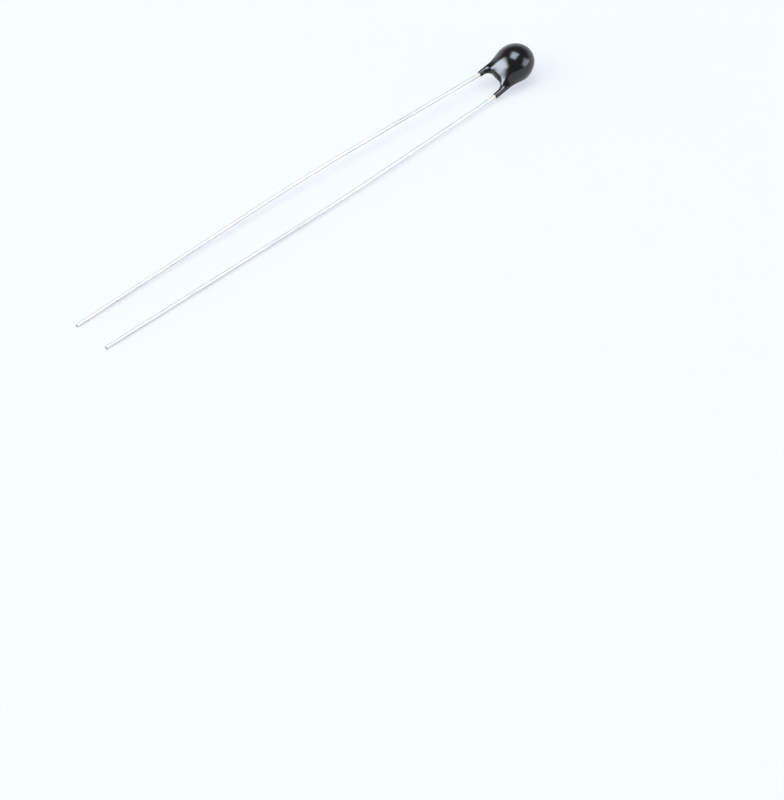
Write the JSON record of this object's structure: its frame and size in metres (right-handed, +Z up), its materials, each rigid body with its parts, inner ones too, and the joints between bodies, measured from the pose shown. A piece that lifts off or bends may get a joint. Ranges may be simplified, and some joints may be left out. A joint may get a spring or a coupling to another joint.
{
  "type": "bead thermistor",
  "caption": "Bead thermistor: a glossy black dipped epoxy bulb on slim bare tinned wire leads, whose resistance falls as it warms.",
  "frame": {"origin": "centre of the bounding box's bottom face, on the surface that the part lies on", "axes": "+X along the leads towards the bulb's nose, +Y towards the left lead, +Z up"},
  "size_m": [0.0304, 0.0024, 0.0021],
  "materials": {
    "epoxy": "glossy black dipped epoxy",
    "tinned_wire": "bright tin plate, a little uneven",
    "ceramic": "matt sintered metal-oxide ceramic",
    "silver_film": "matt fired silver",
    "solder": "satin solder"
  },
  "bodies": {
    "root": {"epoxy_coating": "epoxy", "lead_left": "tinned_wire", "lead_right": "tinned_wire", "ntc_chip": "ceramic", "electrode_left": "silver_film", "electrode_right": "silver_film", "solder_left": "solder", "solder_right": "solder"}
  },
  "joints": []
}
